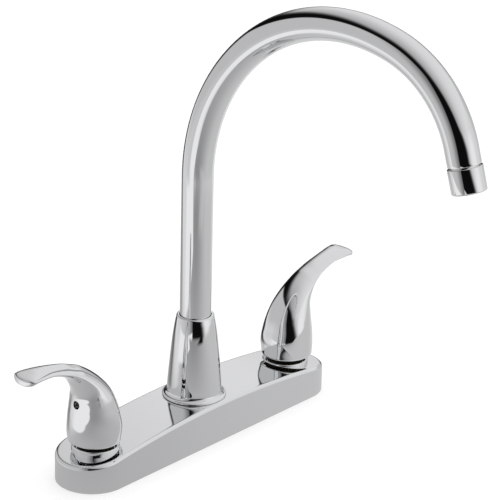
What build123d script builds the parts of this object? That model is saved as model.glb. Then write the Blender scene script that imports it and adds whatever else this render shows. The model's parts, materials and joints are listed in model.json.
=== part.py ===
from build123d import *
import math
import os

# Two handle kitchen faucet on 8 inch centres, a deck plate over a brass waterway, with a swivelling gooseneck spout.
# Frame: origin at the centre of the deck plate's underside, which is the sink's surface (z = 0).
# +Z up, +X towards the cold (right) handle, -Y towards the user; the spout points along -Y at rest.
# All lengths in millimetres.

# ---- deck cover (crowned casting) ----
centres = 203.2  # between the two valves
half_x = centres / 2
deck_half_len = 130.6
deck_half_dep = 26.0
deck_wall = 2.2
crown_top = 29.86  # height of the cover at its middle
crown_radius = 800.0  # arch of the top along X
edge_round = 2.8
boss_r = 17.0
boss_top = 26.6
boss_bore = 13.2
hub_hole = 16.4

# ---- base plate ----
base_gap = 0.2
base_thick = 2.5
base_hole = 12.0

# ---- shanks (1/2-14 straight pipe thread, drawn at the major diameter) ----
shank_r = 10.45
supply_r = 10.4  # lower run, where the supply coupling screws on
shank_bore = 6.5
shank_upper_end = -32.0
shank_groove = 2.0
shank_end = -52.0
washer_top = -17.5
washer_thick = 1.5
nut_thick = 10.0

# ---- valves ----
bore_r = 9.45
bore_floor = 11.0
neck_r = 11.4
neck_top = 28.0
run_gap = 0.05  # radial running clearance
port_z = 16.0
side_boss_r = 6.2
tube_r = 4.75
tube_in = 3.9
seat_off = 4.5

# ---- handles ----
handle_bottom = 28.6
handle_shoulder = 31.5
handle_foot_r = 17.3
cavity_r = 15.2
cavity_top = 38.0
socket_r = 4.85
stem_top = 64.0
screw_z = 59.5
hot_rest_deg = 3.4  # how far each lever leans back behind the deck line when closed
cold_rest_deg = -0.9
# lever and body stations: outer point (u, z), inner point (u, z), half width, squareness and skew of the section;
# u runs outward along the lever
stations = [
    ((-17.3, 31.5), (19.7, 31.5), 18.7, 2.1, 0.0),
    ((-17.3, 39.4), (20.3, 37.5), 18.7, 2.2, 0.05),
    ((-15.7, 48.3), (19.2, 47.1), 18.2, 2.24, 0.0),
    ((-13.1, 58.7), (17.5, 55.8), 16.6, 2.26, -0.07),
    ((-7.5, 69.9), (16.7, 62.1), 14.7, 2.17, -0.1),
    ((2.7, 80.5), (17.7, 68.2), 12.6, 2.0, -0.05),
    ((15.2, 89.0), (22.0, 76.4), 10.7, 1.7, -0.05),
    ((22.7, 91.95), (25.2, 81.3), 9.85, 1.66, -0.12),
    ((30.05, 94.6), (29.7, 84.8), 9.5, 1.6, -0.16),
    ((44.7, 97.15), (42.7, 89.9), 8.9, 1.7, -0.17),
    ((55.5, 97.4), (54.6, 91.5), 10.2, 1.97, -0.14),
    ((62.1, 96.6), (61.7, 91.4), 10.7, 2.4, 0.05),
]
# blunt end of the lever: its middle, and how squarely the thickness and the width close
tip_u, tip_z = 68.6, 92.8
tip_thick_power, tip_width_power, tip_squareness = 5.4, 2.8, 3.3
section_points = 24  # points that each section's curve passes through

# ---- spout ----
spout_r = 11.2
spout_in = 10.2
tube_foot = 38.0
leg_top = 195.0
arc_radii = (138.4, 127.5, 82.0)
arc_turns = (54.9, 51.5, 57.1)  # degrees
straight_end = 10.7
housing_r = 11.75
housing_len = 17.2
housing_gap = 0.4

# ---- centre hub ----
hub_r = 15.9
hub_top = 43.0
chamber_r = 7.5
spigot_r = 8.0
flange_r = 13.0

os.makedirs("parts", exist_ok=True)


def keep(part, name):
    part.label = name
    export_step(part, f"parts/{name}.step")


def arch_profile(top, radius):
    # side view of the cover: flat underneath, arched on top
    reach = 140.0
    drop = radius - math.sqrt(radius**2 - reach**2)
    with BuildSketch(Plane.XZ) as side_view:
        with BuildLine():
            ThreePointArc((-reach, top - drop), (0, top), (reach, top - drop))
            Polyline(
                (reach, top - drop), (reach, -1), (-reach, -1), (-reach, top - drop)
            )
        make_face()
    return side_view.sketch


arch_outer = arch_profile(crown_top, crown_radius)
arch_inner = arch_profile(crown_top - deck_wall, crown_radius - deck_wall)

# =====================================================================
# Deck cover: a crowned racetrack shell with a raised boss under each handle
# =====================================================================
with BuildPart() as deck_shell:
    with BuildSketch(Plane.XY):
        SlotOverall(2 * deck_half_len, 2 * deck_half_dep)
    extrude(amount=crown_top + 5)
    extrude(arch_outer, amount=60, both=True, mode=Mode.INTERSECT)
    top_face = deck_shell.faces().sort_by(Axis.Z)[-1]
    fillet(top_face.edges(), radius=edge_round)
    with BuildSketch(Plane.XY.offset(16)):
        with Locations((-half_x, 0), (half_x, 0)):
            Circle(boss_r)
    extrude(amount=boss_top - 16)
    boss_rims = (
        deck_shell.edges()
        .filter_by(GeomType.CIRCLE)
        .filter_by_position(Axis.Z, boss_top - 0.01, boss_top + 0.01)
    )
    fillet(boss_rims, radius=0.7)
    # hollow underside
    with BuildPart(mode=Mode.PRIVATE) as deck_hollow:
        with BuildSketch(Plane.XY.offset(-1)):
            SlotOverall(
                2 * (deck_half_len - deck_wall), 2 * (deck_half_dep - deck_wall)
            )
        extrude(amount=crown_top + 5)
        extrude(arch_inner, amount=60, both=True, mode=Mode.INTERSECT)
    add(deck_hollow.part, mode=Mode.SUBTRACT)
    with BuildSketch(Plane.XY.offset(1)):
        with Locations((-half_x, 0), (half_x, 0)):
            Circle(boss_bore)
        Circle(hub_hole)
    extrude(amount=40, mode=Mode.SUBTRACT)
keep(deck_shell.part, "deck_shell")

# Base plate that closes the cover and beds on the sink
with BuildPart() as base_plate:
    with BuildSketch(Plane.XY):
        SlotOverall(
            2 * (deck_half_len - deck_wall - base_gap),
            2 * (deck_half_dep - deck_wall - base_gap),
        )
        with Locations((-half_x, 0), (half_x, 0)):
            Circle(base_hole, mode=Mode.SUBTRACT)
    extrude(amount=base_thick)
    # locating ribs either side of the crossover tubes
    with BuildSketch(Plane.XY.offset(base_thick)):
        with Locations((-50, 9), (50, 9), (-50, -9), (50, -9)):
            Rectangle(36, 2)
    extrude(amount=5)
keep(base_plate.part, "base_plate")


# =====================================================================
# Valve bodies: brass, each with its threaded shank down through the sink
# =====================================================================
def valve_body(side):
    x0 = side * half_x
    inward = -side
    with BuildPart() as body:
        with BuildSketch(Plane.XZ.offset(0)):
            with BuildLine():
                Polyline(
                    (x0, shank_end),
                    (x0 + supply_r, shank_end),
                    (x0 + supply_r, shank_upper_end - shank_groove),
                    (x0 + 9.4, shank_upper_end - shank_groove),
                    (x0 + 9.4, shank_upper_end),
                    (x0 + shank_r, shank_upper_end),
                    (x0 + shank_r, base_thick),
                    (x0 + 15.5, base_thick),
                    (x0 + 15.5, base_thick + 2.5),
                    (x0 + 12.5, base_thick + 2.5),
                    (x0 + 12.5, 22.4),
                    (x0 + neck_r, 22.4),
                    (x0 + neck_r, neck_top),
                    (x0, neck_top),
                    close=True,
                )
            make_face()
        revolve(axis=Axis((x0, 0, 0), (0, 0, 1)))
        # side boss for the crossover tube
        with BuildSketch(Plane.YZ.offset(x0)):
            with Locations((0, port_z)):
                Circle(side_boss_r)
        extrude(amount=inward * 22.0)
        # bore of the shank, seat passage, seat pocket and stem bore
        with BuildSketch(Plane.XY.offset(shank_end)):
            with Locations((x0, 0)):
                Circle(shank_bore)
        extrude(amount=-shank_end + 2.0, mode=Mode.SUBTRACT)
        with BuildSketch(Plane.XY.offset(1.5)):
            with Locations((x0, -4.0)):
                Circle(2.4)
        extrude(amount=3.0, mode=Mode.SUBTRACT)
        with BuildSketch(Plane.XY.offset(4.0)):
            with Locations((x0, -seat_off)):
                Circle(4.0)
        extrude(amount=8.0, mode=Mode.SUBTRACT)
        with BuildSketch(Plane.XY.offset(bore_floor)):
            with Locations((x0, 0)):
                Circle(bore_r)
        extrude(amount=20.0, mode=Mode.SUBTRACT)
        # outlet port and tube socket
        with BuildSketch(Plane.YZ.offset(x0 + inward * 8.0)):
            with Locations((0, port_z)):
                Circle(2.6)
        extrude(amount=inward * 5.0, mode=Mode.SUBTRACT)
        with BuildSketch(Plane.YZ.offset(x0 + inward * 12.2)):
            with Locations((0, port_z)):
                Circle(tube_r + run_gap)
        extrude(amount=inward * 11.0, mode=Mode.SUBTRACT)
    return body.part


keep(valve_body(-1), "hot_valve_body")
keep(valve_body(1), "cold_valve_body")


# Crossover tubes from each valve to the centre hub
def crossover(side):
    with BuildPart() as tube:
        with BuildSketch(Plane.YZ.offset(side * 17.6)):
            with Locations((0, port_z)):
                Circle(tube_r)
                Circle(tube_in, mode=Mode.SUBTRACT)
        extrude(amount=side * (half_x - 12.3 - 17.6))
    return tube.part


keep(crossover(-1), "hot_crossover_tube")
keep(crossover(1), "cold_crossover_tube")

# =====================================================================
# Centre hub: brass, takes both crossover tubes and carries the spout
# =====================================================================
with BuildPart() as center_hub:
    with BuildSketch(Plane.XZ):
        with BuildLine():
            Polyline(
                (0, base_thick),
                (18.0, base_thick),
                (18.0, base_thick + 2.0),
                (hub_r, base_thick + 2.0),
                (hub_r, hub_top),
                (flange_r + 0.3, hub_top),
                (flange_r + 0.3, 32.9),
                (spigot_r + run_gap, 32.9),
                (spigot_r + run_gap, 19.0),
                (chamber_r, 19.0),
                (chamber_r, 7.0),
                (0, 7.0),
                close=True,
            )
        make_face()
    revolve(axis=Axis.Z)
    # a hollow boss on each side for the crossover tubes
    with BuildSketch(Plane.YZ.offset(12.0)):
        with Locations((0, port_z)):
            Circle(side_boss_r)
    extrude(amount=12.0)
    with BuildSketch(Plane.YZ.offset(-12.0)):
        with Locations((0, port_z)):
            Circle(side_boss_r)
    extrude(amount=-12.0)
    for side in (-1, 1):
        with BuildSketch(Plane.YZ.offset(side * 6.0)):
            with Locations((0, port_z)):
                Circle(2.8)
        extrude(amount=side * 12.0, mode=Mode.SUBTRACT)
        with BuildSketch(Plane.YZ.offset(side * 17.5)):
            with Locations((0, port_z)):
                Circle(tube_r + run_gap)
        extrude(amount=side * 8.0, mode=Mode.SUBTRACT)
keep(center_hub.part, "center_hub")


# =====================================================================
# Seats, springs and bonnet nuts
# =====================================================================
def seat(side):
    with BuildPart() as cup:
        with BuildSketch(Plane.XY.offset(7.2)):
            with Locations((side * half_x, -seat_off)):
                Circle(3.9)
                Circle(1.8, mode=Mode.SUBTRACT)
        extrude(amount=3.8)
        fillet(
            cup.edges().filter_by(GeomType.CIRCLE).group_by(Axis.Z)[0], radius=0.3
        )
    return cup.part


def seat_spring(side):
    wire = 0.35
    with BuildPart() as coil:
        with BuildLine() as coil_path:
            Helix(
                pitch=0.95,
                height=2.35,
                radius=3.0,
                center=(side * half_x, -seat_off, 4.0 + wire + 0.02),
            )
        with BuildSketch(
            Plane(origin=coil_path.line @ 0, z_dir=coil_path.line % 0)
        ):
            Circle(wire)
        sweep(path=coil_path.line)
    return coil.part


def bonnet_nut(side):
    x0 = side * half_x
    with BuildPart() as nut:
        with BuildSketch(Plane.XY.offset(22.6)):
            with Locations((x0, 0)):
                Circle(13.0)
        extrude(amount=8.4)
        with BuildSketch(Plane.XY.offset(31.0)):
            with Locations((x0, 0)):
                RegularPolygon(11.0, 6)
        extrude(amount=4.0)
        with BuildSketch(Plane.XY.offset(20.0)):
            with Locations((x0, 0)):
                Circle(neck_r + 0.1)
        extrude(amount=8.15, mode=Mode.SUBTRACT)
        with BuildSketch(Plane.XY.offset(27.0)):
            with Locations((x0, 0)):
                Circle(6.4 + run_gap)
        extrude(amount=10.0, mode=Mode.SUBTRACT)
        chamfer(
            nut.edges()
            .filter_by(GeomType.CIRCLE)
            .filter_by_position(Axis.Z, 30.9, 31.1)
            .sort_by(SortBy.RADIUS)[-1:],
            length=0.6,
        )
    return nut.part


for side, word in ((-1, "hot"), (1, "cold")):
    keep(seat(side), f"{word}_seat")
    keep(seat_spring(side), f"{word}_seat_spring")
    keep(bonnet_nut(side), f"{word}_bonnet_nut")


# =====================================================================
# Quarter-turn stems, their O-rings, and the set screws
# =====================================================================
def stem(side):
    x0 = side * half_x
    with BuildPart() as turn:
        with BuildSketch(Plane.XZ):
            with BuildLine():
                Polyline(
                    (x0, bore_floor + 0.1),
                    (x0 + 9.4, bore_floor + 0.1),
                    (x0 + 9.4, 13.3),
                    (x0 + 5.5, 13.3),
                    (x0 + 5.5, 19.0),
                    (x0 + 9.4, 19.0),
                    (x0 + 9.4, 22.0),
                    (x0 + 7.5, 22.0),
                    (x0 + 7.5, 24.2),
                    (x0 + 9.4, 24.2),
                    (x0 + 9.4, 27.9),
                    (x0 + 6.4, 27.9),
                    (x0 + 6.4, 37.0),
                    (x0, 37.0),
                    close=True,
                )
            make_face()
        revolve(axis=Axis((x0, 0, 0), (0, 0, 1)))
        # broached top: a sixteen sided drive for the handle
        with BuildSketch(Plane.XY.offset(36.0)):
            with Locations((x0, 0)):
                RegularPolygon(4.8, 16)
        extrude(amount=stem_top - 36.0)
        # port that comes over the seat when the handle is opened
        with BuildSketch(Plane.XY.offset(10.0)):
            with Locations((x0 + side * seat_off, 0)):
                Circle(2.5)
        extrude(amount=4.0, mode=Mode.SUBTRACT)
    return turn.part


def stem_oring(side):
    with BuildPart() as ring:
        with BuildSketch(Plane.XZ):
            with Locations((side * half_x + 8.47, 23.1)):
                Circle(0.93)
        revolve(axis=Axis((side * half_x, 0, 0), (0, 0, 1)))
    return ring.part


def lever_frame(side, lean_deg):
    # unit vectors of a handle: u outward along the lever, w across it
    a = math.radians(lean_deg)
    u = Vector(side * math.cos(a), math.sin(a), 0)
    w = Vector(0, 0, 1).cross(u)
    return u, w


def set_screw(side, lean_deg):
    u, w = lever_frame(side, lean_deg)
    at = Vector(side * half_x, 0, screw_z)
    with BuildPart() as screw:
        with BuildSketch(Plane(origin=at + u * 4.95, z_dir=u)):
            Circle(2.4)
        extrude(amount=6.0)
        with BuildSketch(Plane(origin=at + u * 8.4, z_dir=u)):
            RegularPolygon(1.3, 6)
        extrude(amount=4.0, mode=Mode.SUBTRACT)
    return screw.part


# =====================================================================
# Lever handles: a round-footed body that narrows and sweeps out into a lever
# =====================================================================
def handle(side, lean_deg):
    u, w = lever_frame(side, lean_deg)
    foot = Vector(side * half_x, 0, 0)

    def at(p):
        return foot + u * p[0] + Vector(0, 0, p[1])

    def section(outer, inner, half_width, power, skew):
        # a closed curve between an ellipse (power 2) and a rectangle, leaning to one side by the skew
        a, b = at(outer), at(inner)
        across = (b - a).normalized()
        ahead = w.cross(across) * -1
        half_deep = (b - a).length / 2
        points = []
        for k in range(section_points):
            t = 2 * math.pi * k / section_points
            p = math.copysign(abs(math.cos(t)) ** (2 / power), math.cos(t))
            q = math.copysign(abs(math.sin(t)) ** (2 / power), math.sin(t))
            points.append((-half_deep * (p + skew * (1 - p * p)), half_width * q))
        with BuildSketch(Plane(origin=(a + b) * 0.5, x_dir=across, z_dir=ahead)) as outline:
            with BuildLine():
                Spline(*points, periodic=True)
            make_face()
        return outline.sketch

    with BuildPart() as grip:
        sections = [section(*station) for station in stations]
        # blunt end, closing over the last station
        last = stations[-1]
        mid_u, mid_z = (last[0][0] + last[1][0]) / 2, (last[0][1] + last[1][1]) / 2
        arm_u, arm_z = (last[0][0] - last[1][0]) / 2, (last[0][1] - last[1][1]) / 2
        for g in (0.45, 0.75, 0.92, 1.0):
            c = min(g, 0.985)
            thick = (1 - c**tip_thick_power) ** (1 / tip_thick_power)
            wide = (1 - c**tip_width_power) ** (1 / tip_width_power)
            here_u, here_z = mid_u + (tip_u - mid_u) * g, mid_z + (tip_z - mid_z) * g
            closing = section(
                (here_u + arm_u * thick, here_z + arm_z * thick),
                (here_u - arm_u * thick, here_z - arm_z * thick),
                last[2] * wide,
                last[3] + (tip_squareness - last[3]) * min(1, 3 * g),
                last[4] * (1 - g),
            )
            sections.append(closing)
        loft(sections=sections)
        # undercut foot
        foot_edge = section(
            (-handle_foot_r, handle_bottom), (handle_foot_r, handle_bottom), handle_foot_r, 2.0, 0.0
        )
        loft(sections=[sections[0], foot_edge], ruled=True)
        # hollow for the bonnet nut, socket for the stem
        with BuildSketch(Plane.XY.offset(handle_bottom - 1)):
            with Locations((foot.X, 0)):
                Circle(cavity_r)
        extrude(amount=cavity_top - handle_bottom + 1, mode=Mode.SUBTRACT)
        with BuildSketch(Plane.XY.offset(cavity_top - 1)):
            with Locations((foot.X, 0)):
                Circle(socket_r)
        extrude(amount=stem_top + 0.5 - cavity_top + 1, mode=Mode.SUBTRACT)
        # set screw hole on the outer side, under the lever
        with BuildSketch(
            Plane(origin=foot + Vector(0, 0, screw_z) + u * 2.0, z_dir=u)
        ):
            Circle(2.45)
        extrude(amount=10.0, mode=Mode.SUBTRACT)
        with BuildSketch(
            Plane(origin=foot + Vector(0, 0, screw_z) + u * 11.0, z_dir=u)
        ):
            Circle(3.0)
        extrude(amount=9.0, mode=Mode.SUBTRACT)
    return grip.part


for side, word, lean in ((-1, "hot", hot_rest_deg), (1, "cold", cold_rest_deg)):
    keep(stem(side), f"{word}_stem")
    keep(stem_oring(side), f"{word}_stem_oring")
    keep(set_screw(side, lean), f"{word}_set_screw")
    made = handle(side, lean)
    print(word, "handle volume", round(made.volume, 1), made.is_valid)
    keep(made, f"{word}_handle")

# =====================================================================
# Spout cone: screws on the hub and holds the cover down and the spout in
# =====================================================================
with BuildPart() as spout_cone:
    with BuildSketch(Plane.XZ):
        with BuildLine():
            foot_face = Polyline(
                (16.0, crown_top + 0.05), (23.0, crown_top + 0.05), (23.0, 30.7)
            )
            cove = ThreePointArc((23.0, 30.7), (20.9, 31.6), (19.85, 33.6))
            flank = Spline(
                (19.85, 33.6),
                (19.45, 39.6),
                (18.8, 47.4),
                (18.1, 55.2),
                (17.35, 63.1),
                (16.55, 70.9),
                (15.6, 78.7),
                (14.35, 86.5),
                (13.55, 90.6),
            )
            rim = ThreePointArc((13.55, 90.6), (13.2, 91.5), (12.4, 91.8))
            Polyline(
                (12.4, 91.8),
                (11.55, 91.8),
                (11.55, 88.0),
                (12.4, 88.0),
                (12.4, 80.0),
                (13.2, 79.0),
                (15.8, 49.0),
                (11.6, 46.5),
                (11.6, 44.0),
                (16.0, 44.0),
                (16.0, crown_top + 0.05),
            )
        make_face()
    revolve(axis=Axis.Z)
keep(spout_cone.part, "spout_cone")

# Guide bushing in the top of the cone
with BuildPart() as cone_bushing:
    with BuildSketch(Plane.XY.offset(80.1)):
        Circle(12.35)
        Circle(spout_r + run_gap, mode=Mode.SUBTRACT)
    extrude(amount=7.8)
keep(cone_bushing.part, "cone_bushing")

# Retainer sleeve between the spout's flange and the cone's shoulder
with BuildPart() as spout_retainer:
    with BuildSketch(Plane.XY.offset(38.1)):
        Circle(13.15)
        Circle(11.55, mode=Mode.SUBTRACT)
    extrude(amount=5.8)
keep(spout_retainer.part, "spout_retainer")

# Thrust washer under the spout's flange
with BuildPart() as thrust_washer:
    with BuildSketch(Plane.XY.offset(32.92)):
        Circle(13.15)
        Circle(8.4, mode=Mode.SUBTRACT)
    extrude(amount=1.0)
keep(thrust_washer.part, "thrust_washer")

# =====================================================================
# Spout: one bent tube, a straight leg and three tangent arcs
# =====================================================================
spout_plane = Plane(origin=(0, 0, 0), x_dir=(0, -1, 0), z_dir=(-1, 0, 0))
with BuildPart() as spout_tube:
    with BuildLine(spout_plane) as spout_path:
        leg = Line((0, tube_foot), (0, leg_top))
        bend_a = JernArc(
            start=leg @ 1, tangent=leg % 1, radius=arc_radii[0], arc_size=-arc_turns[0]
        )
        bend_b = JernArc(
            start=bend_a @ 1,
            tangent=bend_a % 1,
            radius=arc_radii[1],
            arc_size=-arc_turns[1],
        )
        bend_c = JernArc(
            start=bend_b @ 1,
            tangent=bend_b % 1,
            radius=arc_radii[2],
            arc_size=-arc_turns[2],
        )
        outlet_leg = Line(bend_c @ 1, (bend_c @ 1) + (bend_c % 1) * straight_end)
    with BuildSketch(Plane.XY.offset(tube_foot)):
        Circle(spout_r)
        Circle(spout_in, mode=Mode.SUBTRACT)
    sweep(path=spout_path.wires()[0])
run_length = spout_path.wires()[0].length
print(
    "spout run",
    round(run_length, 1),
    "volume",
    round(spout_tube.part.volume, 1),
    "expected",
    round(math.pi * (spout_r**2 - spout_in**2) * run_length, 1),
)
keep(spout_tube.part, "spout_tube")

outlet_at = outlet_leg @ 1
outlet_dir = (outlet_leg % 1).normalized()
print("outlet at", outlet_at, "direction", outlet_dir)


def outlet_plane(offset):
    return Plane(origin=outlet_at + outlet_dir * offset, x_dir=(1, 0, 0), z_dir=outlet_dir)


# Brass end piece of the spout: flange, spigot and two O-ring grooves
with BuildPart() as spout_end_bush:
    with BuildSketch(Plane.XZ):
        with BuildLine():
            Polyline(
                (6.0, 19.5),
                (6.6, 19.5),
                (spigot_r, 20.5),
                (spigot_r, 22.0),
                (6.6, 22.0),
                (6.6, 23.8),
                (spigot_r, 23.8),
                (spigot_r, 28.0),
                (6.6, 28.0),
                (6.6, 29.8),
                (spigot_r, 29.8),
                (spigot_r, 34.0),
                (flange_r, 34.0),
                (flange_r, tube_foot),
                (spout_in - 0.02, tube_foot),
                (spout_in - 0.02, 54.0),
                (7.4, 54.0),
                (6.0, 50.0),
                close=True,
            )
        make_face()
    revolve(axis=Axis.Z)
keep(spout_end_bush.part, "spout_end_bush")

with BuildPart() as spout_orings:
    with BuildSketch(Plane.XZ):
        with Locations((7.31, 22.9), (7.31, 28.9)):
            Circle(0.69)
    revolve(axis=Axis.Z)
keep(spout_orings.part, "spout_orings")

# Threaded bush brazed in the outlet end of the tube
with BuildPart() as outlet_bush:
    with BuildSketch(outlet_plane(-9.8)):
        Circle(spout_in - 0.02)
        Circle(9.35, mode=Mode.SUBTRACT)
    extrude(amount=9.4)
keep(outlet_bush.part, "outlet_bush")

# Aerator: chrome housing with a male thread, insert, screen and washer
with BuildPart() as aerator_housing:
    with BuildSketch(outlet_plane(housing_gap)):
        Circle(housing_r)
    extrude(amount=housing_len)
    rims = aerator_housing.edges().filter_by(GeomType.CIRCLE)
    low_rim = rims.sort_by(Axis.Z)[0]
    high_rim = rims.sort_by(Axis.Z)[-1]
    fillet(low_rim, radius=1.7)
    fillet(high_rim, radius=0.5)
    with BuildSketch(outlet_plane(housing_gap - 7.9)):
        Circle(9.3)
    extrude(amount=9.0)
    with BuildSketch(outlet_plane(housing_gap - 8.5)):
        Circle(8.2)
    extrude(amount=12.0, mode=Mode.SUBTRACT)
    with BuildSketch(outlet_plane(housing_gap + 1.8)):
        Circle(9.6)
    extrude(amount=housing_len, mode=Mode.SUBTRACT)
keep(aerator_housing.part, "aerator_housing")

with BuildPart() as aerator_insert:
    with BuildSketch(outlet_plane(housing_gap + 1.9)):
        Circle(9.5)
    extrude(amount=11.5)
    with BuildSketch(outlet_plane(housing_gap + 4.4)):
        Circle(8.4)
    extrude(amount=10.0, mode=Mode.SUBTRACT)
    with BuildSketch(outlet_plane(housing_gap + 1.0)):
        with PolarLocations(6.6, 12):
            Circle(0.9)
        with PolarLocations(3.4, 6):
            Circle(0.9)
    extrude(amount=5.0, mode=Mode.SUBTRACT)
keep(aerator_insert.part, "aerator_insert")

with BuildPart() as aerator_screen:
    with BuildSketch(outlet_plane(housing_gap + 13.5)):
        Circle(9.5)
        with GridLocations(2.0, 2.0, 7, 7):
            Rectangle(1.3, 1.3, mode=Mode.SUBTRACT)
    extrude(amount=0.6)
keep(aerator_screen.part, "aerator_screen")

with BuildPart() as aerator_washer:
    with BuildSketch(outlet_plane(housing_gap - 9.6)):
        Circle(9.25)
        Circle(8.0, mode=Mode.SUBTRACT)
    extrude(amount=1.6)
keep(aerator_washer.part, "aerator_washer")


# =====================================================================
# Mounting hardware under the sink
# =====================================================================
def mount_washer(side):
    with BuildPart() as ring:
        with BuildSketch(Plane.XY.offset(washer_top - washer_thick)):
            with Locations((side * half_x, 0)):
                Circle(19.0)
                Circle(shank_r + 0.4, mode=Mode.SUBTRACT)
        extrude(amount=washer_thick)
    return ring.part


def mount_nut(side):
    x0 = side * half_x
    top = washer_top - washer_thick - 0.05
    with BuildPart() as nut:
        with BuildSketch(Plane.XY.offset(top - nut_thick)):
            with Locations((x0, 0)):
                Circle(14.5)
        extrude(amount=nut_thick)
        # four finger wings
        with BuildSketch(Plane.XY.offset(top - nut_thick)):
            with Locations((x0, 0)):
                with PolarLocations(17.5, 4, start_angle=45):
                    SlotOverall(11.0, 5.0)
        extrude(amount=nut_thick - 2.5)
        with BuildSketch(Plane.XY.offset(top - 2.5)):
            with Locations((x0, 0)):
                Circle(17.5)
        extrude(amount=2.5)
        with BuildSketch(Plane.XY.offset(top - nut_thick - 1)):
            with Locations((x0, 0)):
                Circle(shank_r + 0.1)
        extrude(amount=nut_thick + 2, mode=Mode.SUBTRACT)
    return nut.part


for side, word in ((-1, "hot"), (1, "cold")):
    keep(mount_washer(side), f"{word}_mounting_washer")
    keep(mount_nut(side), f"{word}_mounting_nut")
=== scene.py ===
import json
import math

import bmesh
import bpy
import numpy as np
from mathutils import Matrix, Vector


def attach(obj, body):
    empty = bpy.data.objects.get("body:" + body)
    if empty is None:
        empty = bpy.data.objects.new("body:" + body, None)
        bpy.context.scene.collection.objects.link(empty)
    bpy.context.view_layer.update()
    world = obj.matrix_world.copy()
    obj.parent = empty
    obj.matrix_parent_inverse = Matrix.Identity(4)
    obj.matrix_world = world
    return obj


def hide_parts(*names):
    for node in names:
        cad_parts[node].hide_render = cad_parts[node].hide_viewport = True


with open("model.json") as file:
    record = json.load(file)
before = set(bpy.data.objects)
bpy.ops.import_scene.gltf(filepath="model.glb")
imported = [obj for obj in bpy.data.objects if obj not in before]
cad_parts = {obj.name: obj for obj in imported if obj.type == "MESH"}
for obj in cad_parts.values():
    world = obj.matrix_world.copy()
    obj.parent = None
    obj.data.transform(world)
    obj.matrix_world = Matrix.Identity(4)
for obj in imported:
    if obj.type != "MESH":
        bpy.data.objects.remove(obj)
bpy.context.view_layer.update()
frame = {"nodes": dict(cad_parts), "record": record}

MM = 0.001
nodes = frame["nodes"]

# ------------------------------------------------------------------ driving sizes, mm
HALF_X = 101.6
DECK_HALF_LEN, DECK_HALF_DEP = 130.6, 26.0
CROWN_TOP, CROWN_R = 29.86, 800.0
BOSS_R, BOSS_TOP = 17.0, 26.0
SHANK_R, SHANK_BORE, THREAD_PITCH = 10.45, 6.5, 1.814
SPOUT_R, SPOUT_IN, TUBE_FOOT, LEG_TOP = 11.17, 10.2, 38.0, 195.0
ARCS = ((138.4, 54.9), (127.5, 51.5), (82.0, 57.1))
STRAIGHT_END = 10.7
HOUSING_R, HOUSING_GAP, HOUSING_LEN = 11.75, 0.4, 17.2
HOT_LEAN, COLD_LEAN = 3.4, -0.9


# ------------------------------------------------------------------ mesh helpers
def new_object(name, verts, faces, angle=35.0, smooth=True):
    me = bpy.data.meshes.new(name)
    me.from_pydata([tuple(float(c) * MM for c in v) for v in verts], [], [tuple(f) for f in faces])
    me.validate()
    bm = bmesh.new()
    bm.from_mesh(me)
    bmesh.ops.remove_doubles(bm, verts=bm.verts, dist=1e-7)
    bmesh.ops.recalc_face_normals(bm, faces=bm.faces)
    bm.to_mesh(me)
    bm.free()
    if smooth:
        me.shade_smooth()
        me.set_sharp_from_angle(angle=math.radians(angle))
    ob = bpy.data.objects.new(name, me)
    bpy.context.scene.collection.objects.link(ob)
    return ob


def grid_faces(rows, cols, close_cols=True, close_rows=False, start=0):
    out = []
    for i in range(rows if close_rows else rows - 1):
        for j in range(cols if close_cols else cols - 1):
            a = start + i * cols + j
            b = start + i * cols + (j + 1) % cols
            c = start + ((i + 1) % rows) * cols + (j + 1) % cols
            d = start + ((i + 1) % rows) * cols + j
            out.append((a, b, c, d))
    return out


def lathe(name, profile, segs=192, centre=(0, 0), angle=35.0, closed=False):
    """Turns a profile of (r, z) points about a vertical axis; closed joins its last point to its first."""
    verts = []
    for r, z in profile:
        for j in range(segs):
            a = 2 * math.pi * j / segs
            verts.append((centre[0] + r * math.cos(a), centre[1] + r * math.sin(a), z))
    return new_object(name, verts, grid_faces(len(profile), segs, close_rows=closed), angle)


def rounded(points, radii, steps=6):
    """A polyline's corners turned into arcs. radii[i] belongs to points[i]; 0 keeps the corner."""
    out = []
    n = len(points)
    for i, p in enumerate(points):
        r = radii[i]
        if r <= 0:
            out.append(tuple(p))
            continue
        p0, p1, p2 = (np.array(points[(i + k) % n], float) for k in (-1, 0, 1))
        u, v = p0 - p1, p2 - p1
        lu, lv = np.linalg.norm(u), np.linalg.norm(v)
        u, v = u / lu, v / lv
        half = math.acos(max(-1, min(1, float(u @ v)))) / 2
        cut = min(r / math.tan(half), 0.49 * lu, 0.49 * lv)
        r = cut * math.tan(half)
        mid = (u + v) / np.linalg.norm(u + v)
        c = p1 + mid * r / math.sin(half)
        a0, a1 = p1 + u * cut - c, p1 + v * cut - c
        t0, t1 = math.atan2(a0[1], a0[0]), math.atan2(a1[1], a1[0])
        d = (t1 - t0 + math.pi) % (2 * math.pi) - math.pi
        for k in range(steps + 1):
            t = t0 + d * k / steps
            out.append((c[0] + r * math.cos(t), c[1] + r * math.sin(t)))
    return out


def hermite(xs, ys, x):
    """Smooth curve through points: cubic with centred slopes, clamped so that it doesn't overshoot at the ends."""
    xs, ys = np.array(xs, float), np.array(ys, float)
    m = np.zeros_like(ys)
    m[1:-1] = (ys[2:] - ys[:-2]) / ((xs[2:] - xs[:-2])[:, None] if ys.ndim > 1 else (xs[2:] - xs[:-2]))
    m[0], m[-1] = (ys[1] - ys[0]) / (xs[1] - xs[0]), (ys[-1] - ys[-2]) / (xs[-1] - xs[-2])
    i = int(min(max(np.searchsorted(xs, x) - 1, 0), len(xs) - 2))
    h = xs[i + 1] - xs[i]
    t = (x - xs[i]) / h
    return ((2 * t**3 - 3 * t**2 + 1) * ys[i] + (t**3 - 2 * t**2 + t) * h * m[i]
            + (-2 * t**3 + 3 * t**2) * ys[i + 1] + (t**3 - t**2) * h * m[i + 1])


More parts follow.
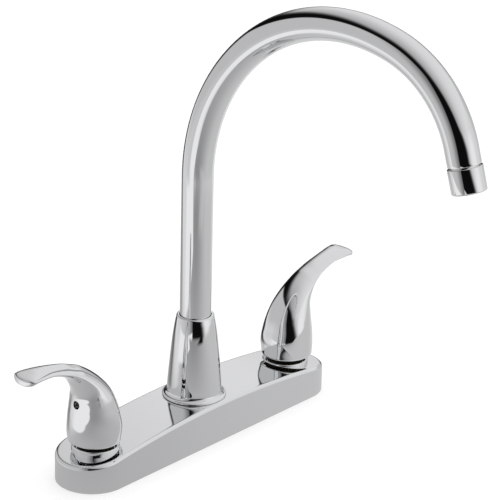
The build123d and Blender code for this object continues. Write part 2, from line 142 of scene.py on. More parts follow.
def crown(x):
    return CROWN_TOP - CROWN_R + math.sqrt(CROWN_R**2 - x * x)


# ------------------------------------------------------------------ materials
def material(name, base, metallic, rough):
    m = bpy.data.materials.new(name)
    m.use_nodes = True
    nt = m.node_tree
    b = nt.nodes["Principled BSDF"]
    b.inputs["Base Color"].default_value = (*base, 1)
    b.inputs["Metallic"].default_value = metallic
    b.inputs["Roughness"].default_value = rough
    return m, nt, b


def add(nt, kind, **values):
    n = nt.nodes.new(kind)
    for k, v in values.items():
        if k in n.inputs.keys():
            n.inputs[k].default_value = v
        else:
            setattr(n, k, v)
    return n


def coords(nt):
    return add(nt, "ShaderNodeTexCoord").outputs["Object"]


def ramp(nt, source, stops):
    r = add(nt, "ShaderNodeValToRGB")
    while len(r.color_ramp.elements) < len(stops):
        r.color_ramp.elements.new(0.5)
    for e, (p, c) in zip(r.color_ramp.elements, stops):
        e.position, e.color = p, (*c, 1)
    nt.links.new(source, r.inputs["Fac"])
    return r.outputs["Color"]


def remap(nt, source, lo, hi):
    r = add(nt, "ShaderNodeMapRange")
    r.inputs["To Min"].default_value, r.inputs["To Max"].default_value = lo, hi
    nt.links.new(source, r.inputs["Value"])
    return r.outputs["Result"]


def noise(nt, where, scale, detail=3.0, rough=0.5):
    n = add(nt, "ShaderNodeTexNoise")
    n.inputs["Scale"].default_value, n.inputs["Detail"].default_value = scale, detail
    n.inputs["Roughness"].default_value = rough
    nt.links.new(where, n.inputs["Vector"])
    return n.outputs["Fac"]


def bump(nt, b, height, strength, distance):
    n = add(nt, "ShaderNodeBump")
    n.inputs["Strength"].default_value, n.inputs["Distance"].default_value = strength, distance
    nt.links.new(height, n.inputs["Height"])
    nt.links.new(n.outputs["Normal"], b.inputs["Normal"])


def chrome(name, base=(0.87, 0.875, 0.885), rough=(0.02, 0.05), wave=0.0, wave_scale=60.0):
    """Polished chrome plate: faint polishing haze in the roughness, and on castings a slight waviness."""
    m, nt, b = material(name, base, 1.0, rough[0])
    where = coords(nt)
    haze = noise(nt, where, 38.0, 4.0, 0.6)
    nt.links.new(remap(nt, haze, *rough), b.inputs["Roughness"])
    tone = noise(nt, where, 11.0, 2.0, 0.5)
    lo = tuple(c * 0.985 for c in base)
    nt.links.new(ramp(nt, tone, [(0.3, lo), (0.7, base)]), b.inputs["Base Color"])
    if wave:
        bump(nt, b, noise(nt, where, wave_scale, 1.0, 0.4), wave, 0.001)
    return m


def metal(name, dark, light, rough=(0.22, 0.38), grain=900.0):
    """Machined metal with turning marks and slight tarnish."""
    m, nt, b = material(name, light, 1.0, rough[0])
    where = coords(nt)
    tarnish = noise(nt, where, 70.0, 5.0, 0.6)
    nt.links.new(ramp(nt, tarnish, [(0.3, dark), (0.65, light)]), b.inputs["Base Color"])
    nt.links.new(remap(nt, tarnish, rough[1], rough[0]), b.inputs["Roughness"])
    w = add(nt, "ShaderNodeTexWave", wave_type="BANDS", bands_direction="Z")
    w.inputs["Scale"].default_value, w.inputs["Distortion"].default_value = grain, 1.0
    nt.links.new(where, w.inputs["Vector"])
    bump(nt, b, w.outputs["Fac"], 0.15, 0.00005)
    return m


def plastic(name, dark, light, rough=(0.35, 0.5), texture=1500.0, strength=0.25):
    """Moulded plastic with a fine spark-eroded texture and mottled tone."""
    m, nt, b = material(name, light, 0.0, rough[0])
    where = coords(nt)
    fine = noise(nt, where, texture, 3.0, 0.6)
    tone = noise(nt, where, 35.0, 3.0, 0.5)
    nt.links.new(ramp(nt, tone, [(0.35, dark), (0.65, light)]), b.inputs["Base Color"])
    nt.links.new(remap(nt, fine, *rough), b.inputs["Roughness"])
    bump(nt, b, fine, strength, 0.0001)
    return m


MAT = {
    "deck_chrome": chrome("deck_chrome", rough=(0.05, 0.09)),
    "handle_chrome": chrome("handle_chrome", rough=(0.035, 0.06)),
    "cone_chrome": chrome("cone_chrome"),
    "tube_chrome": chrome("tube_chrome"),
    "aerator_chrome": chrome("aerator_chrome"),
    "valve_brass": metal("valve_brass", (0.42, 0.28, 0.11), (0.70, 0.50, 0.24)),
    # nut_brass is near-black as painted shade: the nut shows in the dark gap under each handle, and its colour stands
    # in for that shadow instead of the brass it is
    "nut_brass": metal("nut_brass", (0.020, 0.016, 0.012), (0.045, 0.036, 0.026), (0.5, 0.7)),
    "stem_brass": metal("stem_brass", (0.46, 0.31, 0.13), (0.74, 0.55, 0.28)),
    "tube_copper": metal("tube_copper", (0.40, 0.17, 0.09), (0.75, 0.38, 0.24)),
    "seal_rubber": plastic("seal_rubber", (0.012, 0.012, 0.012), (0.03, 0.03, 0.03), (0.55, 0.75)),
    "spring_steel": metal("spring_steel", (0.40, 0.40, 0.41), (0.62, 0.62, 0.63), (0.2, 0.3)),
    "screw_steel": metal("screw_steel", (0.10, 0.09, 0.08), (0.24, 0.22, 0.19), (0.35, 0.5)),
    "guide_plastic": plastic("guide_plastic", (0.74, 0.74, 0.71), (0.84, 0.84, 0.81), (0.25, 0.38)),
    "insert_plastic": plastic("insert_plastic", (0.55, 0.56, 0.58), (0.68, 0.69, 0.71)),
    "screen_steel": metal("screen_steel", (0.45, 0.45, 0.46), (0.66, 0.66, 0.67), (0.25, 0.35)),
    "base_plastic": plastic("base_plastic", (0.035, 0.035, 0.038), (0.055, 0.055, 0.06)),
    "nut_plastic": plastic("nut_plastic", (0.018, 0.018, 0.02), (0.035, 0.035, 0.038)),
    "washer_steel": metal("washer_steel", (0.42, 0.42, 0.42), (0.62, 0.62, 0.60), (0.3, 0.45)),
}


def dress(ob, slot, body, *replaced):
    ob.data.materials.clear()
    ob.data.materials.append(MAT[slot])
    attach(ob, body)
    if replaced:
        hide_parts(*replaced)
    return ob


for part in frame["record"]["subparts"]:
    ob = nodes[part["node"]]
    ob.data.materials.clear()
    ob.data.materials.append(MAT[part["material_slot"]])
    ob.data.shade_smooth()
    ob.data.set_sharp_from_angle(angle=math.radians(35))


# ------------------------------------------------------------------ spout tube
def spout_line(step=2.0):
    """Centreline of the spout as rows of (y, z, dy, dz), mm: a straight leg, three tangent arcs, a short straight end."""
    rows = [(0.0, z, 0.0, 1.0) for z in np.linspace(TUBE_FOOT, LEG_TOP, 60)]
    s, z, th = 0.0, LEG_TOP, 0.0
    for radius, turn in ARCS:
        turn = math.radians(turn)
        cs, cz = s + radius * math.cos(th), z - radius * math.sin(th)
        n = max(8, int(radius * turn / step))
        for i in range(1, n + 1):
            a = th + turn * i / n
            rows.append((-(cs - radius * math.cos(a)), cz + radius * math.sin(a), -math.sin(a), math.cos(a)))
        s, z = -rows[-1][0], rows[-1][1]
        th += turn
    for i in range(1, 5):
        d = STRAIGHT_END * i / 4
        rows.append((-(s + d * math.sin(th)), z + d * math.cos(th), -math.sin(th), math.cos(th)))
    return rows


LINE = spout_line()
OUT_Y, OUT_Z, OUT_DY, OUT_DZ = LINE[-1]


def tube_mesh(name, rows, r_out, r_in, segs=128, lip=0.35):
    verts = []
    count = 0

    def ring(row, r, shift=0.0):
        nonlocal count
        y, z, dy, dz = row
        y, z = y + dy * shift, z + dz * shift
        for j in range(segs):
            a = 2 * math.pi * j / segs
            # across the plane of the bend, and along X
            verts.append((r * math.cos(a), y + r * math.sin(a) * dz, z - r * math.sin(a) * dy))
        count += 1

    ring(rows[0], r_in)
    ring(rows[0], r_out - lip)
    for k in range(1, 5):
        t = math.pi / 2 * k / 4
        ring(rows[0], r_out - lip + lip * math.sin(t), lip * (1 - math.cos(t)))
    for row in rows[1:-1]:
        ring(row, r_out)
    for k in range(5):
        t = math.pi / 2 * k / 4
        ring(rows[-1], r_out - lip + lip * math.cos(t), -lip * (1 - math.sin(t)))
    ring(rows[-1], r_in)
    for row in rows[-2:0:-1]:
        ring(row, r_in)
    return new_object(name, verts, grid_faces(count, segs, close_rows=True), 40)


# the tube's end stands a little back from the aerator, which leaves a shadow line between them
TUBE_BACK = 0.55
tube = tube_mesh("spout_gooseneck", LINE[:-1] + [(OUT_Y - OUT_DY * TUBE_BACK, OUT_Z - OUT_DZ * TUBE_BACK, OUT_DY, OUT_DZ)], SPOUT_R, SPOUT_IN)
dress(tube, "tube_chrome", "spout", "spout_tube")


def outlet_lathe(name, profile, segs=128, angle=35.0, closed=True):
    """A lathe about the outlet's axis. profile rows are (r, distance beyond the tube's end)."""
    verts = []
    for r, d in profile:
        for j in range(segs):
            a = 2 * math.pi * j / segs
            y = OUT_Y + OUT_DY * d + r * math.sin(a) * OUT_DZ
            z = OUT_Z + OUT_DZ * d - r * math.sin(a) * OUT_DY
            verts.append((r * math.cos(a), y, z))
    return new_object(name, verts, grid_faces(len(profile), segs, close_rows=closed), angle)


housing_profile = rounded(
    [(9.25, -7.5), (9.25, 0.5), (11.73, 0.5), (11.73, 17.2), (9.62, 17.2), (9.62, 2.2), (8.2, 2.2), (8.2, -7.5)],
    [0.3, 0.0, 0.4, 1.1, 0.25, 0.0, 0.0, 0.3])
housing = outlet_lathe("aerator_shell", housing_profile, 160)
dress(housing, "aerator_chrome", "spout", "aerator_housing")

# ------------------------------------------------------------------ spout cone
cone_xy = [(23.0, 29.95), (23.0, 30.75), (22.2, 31.15), (21.2, 31.65), (20.45, 32.4), (20.0, 33.3), (19.72, 35.0),
           (19.45, 39.6), (18.8, 47.4), (18.1, 55.2), (17.35, 63.1), (16.55, 70.9), (15.6, 78.7), (14.35, 86.5), (13.5, 90.7)]
cone_t = np.concatenate([[0], np.cumsum([math.dist(a, b) for a, b in zip(cone_xy, cone_xy[1:])])])
side = [tuple(hermite(cone_t, np.array(cone_xy), t)) for t in np.linspace(cone_t[2], cone_t[-1], 150)]
foot_profile = rounded([(16.1, 29.95), (23.0, 29.95), (23.0, 31.0), (22.2, 31.15)], [0, 0.25, 0.5, 0])[:-1]
cone_profile = (foot_profile + side
                + [(13.42, 91.0), (13.25, 91.3), (13.0, 91.55), (12.7, 91.7), (12.35, 91.78), (11.9, 91.8), (11.62, 91.74), (11.56, 91.6)]
                + [(11.56, 88.0), (12.4, 88.0), (12.4, 80.0), (13.2, 79.0), (15.8, 49.0), (11.6, 46.5), (11.6, 44.0), (16.1, 44.0)])
cone = lathe("spout_cone_skin", cone_profile, 256, closed=True, angle=40)
dress(cone, "cone_chrome", "faucet_base", "spout_cone")


# ------------------------------------------------------------------ handles
STATIONS = [
    # outer (u, z), inner (u, z), half width, squareness and skew of the section
    ((-17.2, 31.5), (19.65, 31.5), 18.68, 2.1, 0.0),
    ((-17.24, 40.34), (20.27, 37.40), 18.40, 2.28, 0.067),
    ((-15.54, 48.98), (19.42, 47.08), 18.13, 2.23, 0.043),
    ((-12.88, 58.94), (18.38, 55.84), 16.53, 2.21, -0.005),
    ((-7.52, 69.56), (17.78, 62.28), 14.69, 2.15, -0.039),
    ((2.61, 80.27), (18.22, 68.28), 12.56, 1.93, -0.002),
    ((15.12, 88.94), (22.12, 76.41), 10.64, 1.66, -0.021),
    ((22.66, 91.90), (25.19, 81.30), 9.84, 1.66, -0.123),
    ((30.06, 94.59), (29.70, 84.76), 9.50, 1.51, -0.164),
    ((44.74, 97.22), (42.69, 89.91), 8.90, 1.65, -0.178),
    ((55.47, 97.53), (54.60, 91.52), 10.25, 1.93, -0.148),
    ((62.13, 96.70), (61.78, 91.35), 10.74, 2.33, 0.056),
]
# blunt end of the lever: its middle and how far it leans along w, per handle; how squarely the thickness and the
# width close, squareness of its section
TIPS = {-1: (68.5, 92.8, 0.4), 1: (66.2, 92.7, 1.0)}
TIP_THICK, TIP_WIDE, TIP_SQUARE = 5.46, 2.1, 3.33
# set screw hole: its height, thread radius, and radius and depth of the plain mouth
HOLE_Z, HOLE_R, MOUTH_R, MOUTH_U = 59.9, 2.85, 3.0, 11.5


def handle_mesh(name, side, lean, segs=128, rows=170):
    lean = math.radians(lean)
    u = np.array((side * math.cos(lean), math.sin(lean), 0.0))
    w = np.array((-u[1], u[0], 0.0))
    foot = np.array((side * HALF_X, 0.0, 0.0))
    up = np.array((0.0, 0.0, 1.0))
    st = STATIONS
    mids = [((a[0] + b[0]) / 2, (a[1] + b[1]) / 2) for a, b, *_ in st]
    t = np.concatenate([[0], np.cumsum([math.dist(p, q) for p, q in zip(mids, mids[1:])])])
    data = np.array([[*a, *b, c, n, k] for a, b, c, n, k in st], float)
    tip, tip_lean = np.array(TIPS[side][:2]), TIPS[side][2]
    verts = []
    count = 0

    def ring(o, i, half, power, skew=0.0):
        nonlocal count
        o, i = np.array(o), np.array(i)
        mid, arm = (o + i) / 2, (o - i) / 2
        shift = tip_lean * max(0.0, (mid[0] - 45.0) / (tip[0] - 45.0)) ** 2
        for j in range(segs):
            a = 2 * math.pi * j / segs
            ca, sa = math.cos(a), math.sin(a)
            e = 2.0 / power
            p = math.copysign(abs(ca) ** e, ca)
            q = math.copysign(abs(sa) ** e, sa)
            m = mid + arm * (p + skew * (1 - p * p))
            verts.append(tuple(foot + u * m[0] + up * m[1] + w * (half * q + shift)))
        count += 1

    def flat(r, z, off=0.0, count_up=True):
        ring((-r + off, z), (r + off, z), r, 2.0)

    # inside of the socket and the hollow foot, then the rounded lower rim
    flat(4.85, 64.5)
    flat(4.85, 38.0)
    flat(15.2, 38.0)
    flat(15.2, 29.5)
    flat(15.5, 29.2)
    for k in range(9):
        s = k / 8
        grow = math.sin(s * math.pi / 2)
        z = 29.2 + 1.4 * (1 - math.cos(s * math.pi / 2))
        ring((-16.6 - 0.55 * grow, z), (17.7 + 1.87 * grow, z), 17.4 + 1.2 * grow, 2.0 + 0.1 * grow)
    ring((-17.18, 31.0), (19.62, 31.0), 18.65, 2.1)
    ring((-17.2, 31.5), (19.65, 31.5), 18.68, 2.1)
    for x in np.linspace(0, t[-1], rows)[1:]:
        d = hermite(t, data, x)
        ring(d[0:2], d[2:4], d[4], d[5], d[6])
    # blunt end
    o0, i0, h0, n0, k0 = data[-1][0:2], data[-1][2:4], *data[-1][4:7]
    mid0 = (o0 + i0) / 2
    for k in range(1, 34):
        s = math.pi / 2 * (1 - (1 - k / 34) ** 2.2)
        g = math.sin(s) ** (2 / TIP_THICK)
        thick = math.cos(s) ** (2 / TIP_THICK)
        wide = (1 - g**TIP_WIDE) ** (1 / TIP_WIDE)
        mid = mid0 + (tip - mid0) * g
        arm = (o0 - i0) / 2 * thick
        ring(mid + arm, mid - arm, h0 * wide, n0 + (TIP_SQUARE - n0) * min(1, 3 * g), k0 * (1 - g))
    top = len(verts)
    verts.append(tuple(foot + u * tip[0] + up * tip[1] + w * tip_lean))
    faces = grid_faces(count, segs)
    last_ring = (count - 1) * segs
    faces += [(last_ring + j, last_ring + (j + 1) % segs, top) for j in range(segs)]
    faces.append(tuple(range(segs)))
    ob = new_object(name, verts, faces, 40)
    # set screw hole on the outer side, wider at its mouth
    drill = lathe(name + "_drill", [(0.001, 4.0), (HOLE_R, 4.0), (HOLE_R, MOUTH_U), (MOUTH_R, MOUTH_U), (MOUTH_R, 26.0), (0.001, 26.0)],
                  48, closed=True)
    at = foot + up * HOLE_Z
    turn = Vector(tuple(u)).to_track_quat("Z", "Y").to_matrix().to_4x4()
    drill.data.transform(Matrix.Translation(Vector(tuple(at)) * MM) @ turn)
    cut = ob.modifiers.new("hole", "BOOLEAN")
    cut.operation, cut.object, cut.solver = "DIFFERENCE", drill, "EXACT"
    dg = bpy.context.evaluated_depsgraph_get()
    made = bpy.data.meshes.new_from_object(ob.evaluated_get(dg))
    ob.modifiers.clear()
    ob.data = made
    bpy.data.objects.remove(drill)
    made.shade_smooth()
    made.set_sharp_from_angle(angle=math.radians(40))
    return ob


hot = handle_mesh("hot_lever_skin", -1, HOT_LEAN)
dress(hot, "handle_chrome", "hot_lever", "hot_handle")
cold = handle_mesh("cold_lever_skin", 1, COLD_LEAN)
dress(cold, "handle_chrome", "cold_lever", "cold_handle")


# ------------------------------------------------------------------ deck cover
def deck_mesh(name, edge=2.8, wall=2.2, straight=120, ends=64):
    """Crowned racetrack cover: rings from the hidden middle of the top out over the rounded edge and down the wall."""
    half = DECK_HALF_LEN - DECK_HALF_DEP

    def outline(inset):
        r = DECK_HALF_DEP - inset
        pts = []
        for k in range(straight + 1):
            x = -half + 2 * half * k / straight
            pts.append((x, -r, 0.0, -1.0))
        for k in range(1, ends):
            a = -math.pi / 2 + math.pi * k / ends
            pts.append((half + r * math.cos(a), r * math.sin(a), math.cos(a), math.sin(a)))
        for k in range(straight + 1):
            x = half - 2 * half * k / straight
            pts.append((x, r, 0.0, 1.0))
        for k in range(1, ends):
            a = math.pi / 2 + math.pi * k / ends
            pts.append((-half + r * math.cos(a), r * math.sin(a), math.cos(a), math.sin(a)))
        return pts

    cols = len(outline(0))
    verts = []
    count = 0

    def ring(points):
        nonlocal count
        verts.extend(points)
        count += 1

    # flat lower edge and outer wall
    ring([(x, y, 0.0) for x, y, *_ in outline(wall)])
    ring([(x, y, 0.0) for x, y, *_ in outline(0.35)])
    for k in range(1, 5):
        a = math.pi / 2 * k / 4
        ring([(x, y, 0.35 * (1 - math.cos(a))) for x, y, *_ in outline(0.35 * (1 - math.sin(a)))])
    for k in range(1, 7):
        ring([(x, y, 0.35 + (crown(x) - edge - 0.35) * k / 7) for x, y, *_ in outline(0)])
    # rounded edge: a quarter circle between the wall and the top
    for k in range(0, 17):
        a = math.pi / 2 * k / 16
        inset = edge * (1 - math.cos(a))
        pts = []
        for x, y, *_ in outline(inset):
            pts.append((x, y, crown(x) - edge * (1 - math.sin(a))))
        ring(pts)
    # top, closing on the long axis
    for k in range(1, 25):
        inset = edge + (DECK_HALF_DEP - edge) * k / 24
        inset = min(inset, DECK_HALF_DEP - 0.02)
        ring([(x, y, crown(x)) for x, y, *_ in outline(inset)])
    faces = grid_faces(count, cols)
    # close the narrow slit along the axis by welding the last ring to itself
    last = (count - 1) * cols
    for k in range(straight):
        a, b = last + k, last + k + 1
        c, d = last + (straight + ends) + (straight - k - 1), last + (straight + ends) + (straight - k)
        faces.append((a, b, c, d))
    right_end = [last + straight + k for k in range(0, ends + 1)]
    left_end = [last + (2 * straight + ends) + k for k in range(0, ends)] + [last]
    faces.append(tuple(right_end))
    faces.append(tuple(left_end))
    return new_object(name, verts, faces, 30)


deck = deck_mesh("deck_cover")
dress(deck, "deck_chrome", "faucet_base")


def boss_mesh(name, x0):
    profile = rounded([(BOSS_R, 14.0), (BOSS_R, BOSS_TOP), (13.3, BOSS_TOP), (13.3, 14.0)], [0, 1.0, 0.4, 0], 8)
    return lathe(name, profile, 192, (x0, 0), closed=True)


for side, word in ((-1, "hot"), (1, "cold")):
    ring = boss_mesh(word + "_deck_ring", side * HALF_X)
    dress(ring, "deck_chrome", "faucet_base")
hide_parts("deck_shell")


# ------------------------------------------------------------------ shanks with their threads
def valve_mesh(name, x0, segs=96):
    """Valve body turned from bar, with a real helical thread on the shank."""
    verts = []
    count = 0
    depth = 1.05

    def thread(r, z, a):
        phase = (z / THREAD_PITCH - a / (2 * math.pi)) % 1.0
        tri = abs(phase - 0.5) * 2
        return r - depth * min(1.0, max(0.0, (tri - 0.12) / 0.76))

    def ring(r, z, cut=0.0):
        nonlocal count
        for j in range(segs):
            a = 2 * math.pi * j / segs
            rr = r if cut <= 0 else r - (r - thread(r, z, a)) * cut
            verts.append((x0 + rr * math.cos(a), rr * math.sin(a), z))
        count += 1

    ring(SHANK_BORE, 2.0)
    ring(SHANK_BORE, -51.5)
    ring(SHANK_BORE + 0.5, -52.0)
    ring(9.3, -52.0)
    for z in np.arange(-51.4, -34.2, 0.13):
        ring(10.4, z, min(1.0, (z + 51.9) / 1.0))
    ring(9.4, -34.0)
    ring(9.4, -32.0)
    for z in np.arange(-31.8, -3.0, 0.13):
        ring(SHANK_R, z, 1.0)
    ring(9.6, -2.9)
    ring(9.6, -1.5)
    ring(SHANK_R, -1.0)
    for r, z in ((SHANK_R, 2.5), (15.2, 2.5), (15.5, 2.8), (15.5, 4.7), (15.2, 5.0), (12.5, 5.0), (12.5, 22.2), (12.3, 22.4),
                 (11.4, 22.4), (11.4, 27.7), (11.1, 28.0), (9.45, 28.0), (9.45, 11.0), (0.01, 11.0), (0.01, 2.0)):
        ring(r, z)
    return new_object(name, verts, grid_faces(count, segs, close_rows=True), 28)


for side, word in ((-1, "hot"), (1, "cold")):
    v = valve_mesh(word + "_threaded_valve", side * HALF_X)
    dress(v, "valve_brass", "faucet_base", word + "_valve_body")

# ------------------------------------------------------------------ studio: floor, lights, camera
def plane(name, centre, size, normal, mat, camera=False):
    me = bpy.data.meshes.new(name)
    sx, sy = size[0] / 2, size[1] / 2
    me.from_pydata([(-sx, -sy, 0), (sx, -sy, 0), (sx, sy, 0), (-sx, sy, 0)], [], [(0, 1, 2, 3)])
    ob = bpy.data.objects.new(name, me)
    bpy.context.scene.collection.objects.link(ob)
    ob.location = centre
    ob.rotation_mode = "QUATERNION"
    ob.rotation_quaternion = Vector(normal).to_track_quat("Z", "Y")
    me.materials.append(mat)
    ob.visible_camera = camera
    return ob


floor_mat, floor_nt, floor_b = material("studio_floor", (0.86, 0.86, 0.865), 0.0, 0.7)
floor_b.inputs["Specular IOR Level"].default_value = 0.1
floor_tone = noise(floor_nt, coords(floor_nt), 3.0, 3.0, 0.5)
floor_nt.links.new(ramp(floor_nt, floor_tone, [(0.3, (0.30, 0.30, 0.302)), (0.7, (0.31, 0.31, 0.312))]), floor_b.inputs["Base Color"])
# a light table: most of its brightness is its own, so that shadows on it stay faint
floor_b.inputs["Emission Color"].default_value = (1, 1, 1, 1)
floor_b.inputs["Emission Strength"].default_value = 0.62
floor = plane("studio_ground", (0, 0, -0.0002), (9, 9), (0, 0, 1), floor_mat, camera=True)
floor.visible_glossy = False


# ---- the studio that the chrome mirrors. Far away, by direction: a light wall on the right, a dark side where the camera
# stands and the ground. At their real distances: a grey table, a pale backdrop panel behind on the left and an overhead
# light, with a dark gap between those two
def aim(azimuth, elevation):
    a, e = math.radians(azimuth), math.radians(elevation)
    return (math.cos(a) * math.cos(e), math.sin(a) * math.cos(e), math.sin(e))


def edge_normal(azimuth, slope):
    """Normal of the plane through a straight edge that stands slope high over a distance of 1, square to azimuth."""
    a = math.radians(azimuth)
    n = Vector((-slope * math.cos(a), -slope * math.sin(a), 1.0))
    return tuple(n.normalized())


world = bpy.data.worlds.new("studio")
bpy.context.scene.world = world
world.use_nodes = True
wt = world.node_tree
wt.nodes.clear()


class Sums:
    """Sums on the sockets of a node tree. where is the vector they start from: a direction, or a place in metres."""

    def __init__(self, nt, where):
        self.nt, self.where = nt, where

    def vector(self, op, a, b):
        n = add(self.nt, "ShaderNodeVectorMath", operation=op)
        for i, v in enumerate((a, b)):
            if v is None:
                continue
            if isinstance(v, (tuple, list, Vector)):
                n.inputs[i].default_value = v
            else:
                self.nt.links.new(v, n.inputs[i])
        return n

    def dot(self, vector, where=None):
        return self.vector("DOT_PRODUCT", where or self.where, tuple(vector)).outputs["Value"]

    def step(self, source, lo, hi):
        """0 at lo, 1 at hi, smooth between; hi may be less than lo."""
        n = add(self.nt, "ShaderNodeMapRange", interpolation_type="SMOOTHSTEP")
        n.inputs["From Min"].default_value, n.inputs["From Max"].default_value = min(lo, hi), max(lo, hi)
        n.inputs["To Min"].default_value, n.inputs["To Max"].default_value = (0, 1) if hi > lo else (1, 0)
        self.nt.links.new(source, n.inputs["Value"])
        return n.outputs["Result"]

    def calc(self, op, a, b=None):
        n = add(self.nt, "ShaderNodeMath", operation=op)
        for i, v in enumerate((a, b)):
            if v is None:
                continue
            if isinstance(v, (int, float)):
                n.inputs[i].default_value = v
            else:
                self.nt.links.new(v, n.inputs[i])
        return n.outputs[0]

    def total(self, first, *terms):
        """first plus each (amount, mask)."""
        for amount, mask in terms:
            first = self.calc("ADD", first, self.calc("MULTIPLY", mask, amount))
        return first

    def mix(self, a, b, mask):
        """a where mask is 0, b where it is 1."""
        return self.calc("ADD", self.calc("MULTIPLY", a, self.calc("SUBTRACT", 1.0, mask)), self.calc("MULTIPLY", b, mask))

    def blob(self, azimuth, elevation, radius, where=None):
        return self.step(self.dot(aim(azimuth, elevation), where), math.cos(math.radians(radius)), 1.0)

    def flat_distance(self, x, y):
        """Distance in plan from (x, y) metres."""
        off = self.vector("SUBTRACT", self.where, (x, y, 0.0)).outputs["Vector"]
        off = self.vector("MULTIPLY", off, (1.0, 1.0, 0.0)).outputs["Vector"]
        return self.vector("LENGTH", off, None).outputs["Value"]

    def from_faucet(self):
        """Direction in which the faucet sees the place."""
        off = self.vector("SUBTRACT", self.where, (-0.03, 0.0, 0.09)).outputs["Vector"]
        return self.vector("NORMALIZE", off, None).outputs["Vector"]

    def radiance(self, shade):
        """Light that polished chrome shows at the given brightness in the picture."""
        return self.calc("MULTIPLY", self.calc("POWER", shade, 2.2), 1.0 / 0.88)


GROUND_GLOW = (139.3, -25.6, 37.7)
w = Sums(wt, add(wt, "ShaderNodeTexCoord").outputs["Generated"])
# light wall on the right
shade = w.total(0.817, (0.08, w.blob(-69.5, -2.7, 29.0)), (-0.107, w.blob(5.2, 10.0, 33.5)),
                (0.059, w.blob(47.4, 44.4, 39.3)), (-0.12, w.blob(175.4, 60.0, 65.4)))
# dark side round the camera
low_edge = w.calc("MINIMUM", w.dot(edge_normal(164.5, 1.004)), w.dot(edge_normal(142.6, 2.106)))
rise = w.total(0.0, (0.792, w.step(low_edge, -0.108, 0.151)), (0.208, w.step(low_edge, 0.036, 0.303)))
shade = w.mix(0.078, shade, rise)
# dark line along the horizon behind the table
level = w.dot((0, 0, 1))
horizon = w.calc("MULTIPLY", w.step(w.calc("ABSOLUTE", w.calc("ADD", level, 0.12)), 0.20, 0.15), w.step(w.dot(aim(42, -5)), 0.88, 0.96))
shade = w.mix(shade, 0.25, horizon)
# ground beyond the table; its edge is sharp under the camera
camera_side = w.step(w.dot(aim(-130, -10)), 0.45, 0.75)
ground = w.mix(w.step(level, -0.19, -0.46), w.step(level, -0.185, -0.205), camera_side)
ground_tone = w.total(0.796, (0.056, w.blob(-23.3, -15.5, 62.4)), (-0.118, w.blob(-126.1, -19.9, 34.6)),
                      (-0.068, w.blob(103.3, -35.4, 39.6)))
shade = w.mix(shade, ground_tone, ground)
shade = w.total(shade, (0.157, w.blob(*GROUND_GLOW)))
seen = add(wt, "ShaderNodeLightPath").outputs["Is Camera Ray"]
backing = add(wt, "ShaderNodeBackground")
backing.inputs["Color"].default_value = (1, 1, 1, 1)
wt.links.new(w.mix(w.radiance(shade), 0.93, seen), backing.inputs["Strength"])
out = add(wt, "ShaderNodeOutputWorld")
wt.links.new(backing.outputs[0], out.inputs["Surface"])


def card(name, corners):
    """A studio surface that only mirrors see. Returns the sums on its own places."""
    me = bpy.data.meshes.new(name)
    me.from_pydata(corners, [], [(0, 1, 2, 3)])
    ob = bpy.data.objects.new(name, me)
    bpy.context.scene.collection.objects.link(ob)
    for kind in ("camera", "diffuse", "transmission", "volume_scatter", "shadow"):
        setattr(ob, "visible_" + kind, False)
    mat = bpy.data.materials.new(name)
    mat.use_nodes = True
    mat.node_tree.nodes.clear()
    me.materials.append(mat)
    return Sums(mat.node_tree, coords(mat.node_tree))


def finish_card(s, shade, mask):
    glow = add(s.nt, "ShaderNodeEmission")
    s.nt.links.new(s.radiance(shade), glow.inputs["Strength"])
    clear = add(s.nt, "ShaderNodeBsdfTransparent")
    both = add(s.nt, "ShaderNodeMixShader")
    s.nt.links.new(mask, both.inputs[0])
    s.nt.links.new(clear.outputs[0], both.inputs[1])
    s.nt.links.new(glow.outputs[0], both.inputs[2])
    end = add(s.nt, "ShaderNodeOutputMaterial")
    s.nt.links.new(both.outputs[0], end.inputs["Surface"])


# grey table under and in front of the faucet
s = card("studio_table", [(-0.75, -0.75, -0.0003), (0.75, -0.75, -0.0003), (0.75, 0.75, -0.0003), (-0.75, 0.75, -0.0003)])
cover = s.calc("MULTIPLY", s.step(s.dot((1, -0.677, 0)), -0.292, -0.268), s.step(s.dot((0.3, 1, 0)), 0.12, -0.01))
cover = s.calc("MAXIMUM", cover, s.step(s.dot((0, 1, 0)), -0.098, -0.128))
camera_side = s.step(s.dot(aim(-124, 0), s.from_faucet()), 0.80, 0.90)
front_reach = s.mix(s.step(s.flat_distance(0, 0), 0.70, 0.46), s.step(s.flat_distance(0, 0), 0.46, 0.38), s.step(s.dot((1, 0, 0)), -0.30, -0.20))
reach = s.mix(s.step(s.flat_distance(0, 0), 0.70, 0.45), front_reach, camera_side)
reach = s.mix(reach, s.step(s.flat_distance(0, 0), 0.22, 0.17), s.step(s.dot(aim(42, -15), s.from_faucet()), 0.88, 0.96))
finish_card(s, s.total(0.733, (-0.195, s.step(s.flat_distance(-0.374, -0.263), 0.564, 0.0))),
            s.calc("MULTIPLY", cover, reach))

# backdrop panel; v runs along it, from its far right end to its slanted left edge
PANEL_AZ, PANEL_D = 151.46, 0.524
ahead = Vector(aim(PANEL_AZ, 0))
along = Vector((-ahead.y, ahead.x, 0))
corners = [tuple(ahead * PANEL_D + along * v + Vector((0, 0, z))) for v, z in ((-3.8, -0.3), (1.2, -0.3), (1.2, 0.79), (-3.8, 0.79))]
s = card("studio_panel", corners)
z, v = s.dot((0, 0, 1)), s.dot(along)
from_left = s.calc("SUBTRACT", s.calc("SUBTRACT", 0.785, s.calc("MULTIPLY", z, 0.358)), v)
cover = s.calc("MULTIPLY", s.step(z, 0.72, 0.63), s.step(v, -3.77, -1.26))
cover = s.calc("MULTIPLY", cover, s.step(from_left, -0.06, 0.06))
cover = s.calc("POWER", cover, 1.9)
cover = s.calc("MULTIPLY", cover, s.step(z, -0.26, -0.10))
shade = s.total(0.716, (-0.279, s.step(from_left, 0.524, 0.0)), (0.05, s.blob(*GROUND_GLOW, where=s.from_faucet())))
crisp = s.step(v, -0.22, -0.06)
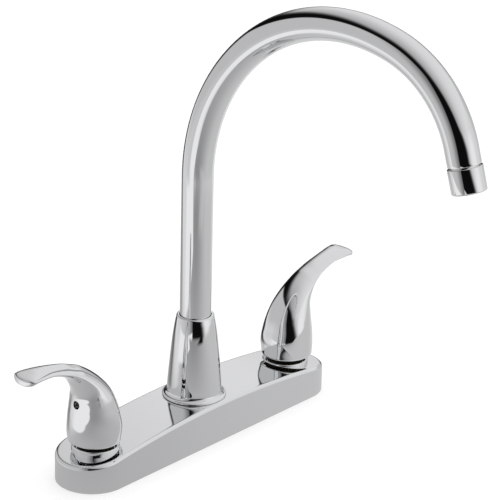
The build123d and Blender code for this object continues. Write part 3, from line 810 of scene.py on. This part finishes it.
low_zone = s.mix(s.step(z, 0.15, -0.14), s.step(z, 0.012, -0.004), crisp)
finish_card(s, s.mix(shade, s.total(0.84, (0.06, crisp)), low_zone), cover)

# overhead light, fading towards the camera and the left
LIGHT_Z = 2.489
s = card("studio_overhead", [(-8.5, -8.5, LIGHT_Z), (8.5, -8.5, LIGHT_Z), (8.5, 8.5, LIGHT_Z), (-8.5, 8.5, LIGHT_Z)])
fade = s.calc("MAXIMUM",
              s.calc("DIVIDE", s.calc("SUBTRACT", s.dot(aim(156.95, 0)), 0.4266 * LIGHT_Z), 0.5419 * LIGHT_Z),
              s.calc("DIVIDE", s.calc("SUBTRACT", s.dot(aim(138.92, 0)), 0.4626 * LIGHT_Z), 0.5125 * LIGHT_Z))
lit = s.total(0.0, (0.729, s.step(fade, 1.0, 0.0)), (0.271, s.step(fade, 1.0, -1.5)))
tone = s.total(0.842, (-0.118, s.step(s.dot((1, 0, 0)), 0.8 * LIGHT_Z, -1.3 * LIGHT_Z)))
cover = s.step(s.flat_distance(0, 0), 3.395 * LIGHT_Z, 2.195 * LIGHT_Z)
finish_card(s, s.mix(0.078, tone, lit), cover)


def softbox(name, centre, target, size, watts, colour=(1, 1, 1)):
    light = bpy.data.lights.new(name, "AREA")
    light.shape, light.size, light.size_y = "RECTANGLE", size[0], size[1]
    light.energy, light.color = watts, colour
    ob = bpy.data.objects.new(name, light)
    bpy.context.scene.collection.objects.link(ob)
    ob.location = centre
    ob.rotation_mode = "QUATERNION"
    ob.rotation_quaternion = (Vector(target) - Vector(centre)).to_track_quat("-Z", "Y")
    ob.visible_camera = False
    ob.visible_glossy = False
    return ob


softbox("key_overhead", (0.0, 0.0, 3.0), (0, 0, 0.0), (5, 5), 180)

# camera at the photograph's viewing angle
CAM_AZ, CAM_EL, CAM_ROLL = -0.8646789627, 0.3777567977, 0.0249852836
CAM_DIST, CAM_FOCAL = 1825.142, 2594.10
TARGET_RIGHT, TARGET_UP = 37.6457, 141.333
back = Vector((math.sin(CAM_AZ) * math.cos(CAM_EL), -math.cos(CAM_AZ) * math.cos(CAM_EL), math.sin(CAM_EL)))
right = Vector((math.cos(CAM_AZ), math.sin(CAM_AZ), 0))
up_axis = (-back).cross(right) * -1
spin = Matrix.Rotation(0, 3, "X")
true_up = right.cross(-back)
right_r = right * math.cos(CAM_ROLL) + true_up * math.sin(CAM_ROLL)
up_r = true_up * math.cos(CAM_ROLL) - right * math.sin(CAM_ROLL)
look = right * TARGET_RIGHT + Vector((0, 0, TARGET_UP))
place = (look + back * CAM_DIST) * MM
cam_data = bpy.data.cameras.new("camera")
cam_data.sensor_fit, cam_data.sensor_width = "HORIZONTAL", 36.0
cam_data.lens = CAM_FOCAL / 500.0 * 36.0
cam_data.clip_start, cam_data.clip_end = 0.05, 50
camera = bpy.data.objects.new("camera", cam_data)
bpy.context.scene.collection.objects.link(camera)
rot = Matrix((right_r, up_r, back)).transposed()
camera.matrix_world = Matrix.Translation(place) @ rot.to_4x4()
bpy.context.scene.camera = camera
bpy.context.scene.view_settings.view_transform = "Standard"
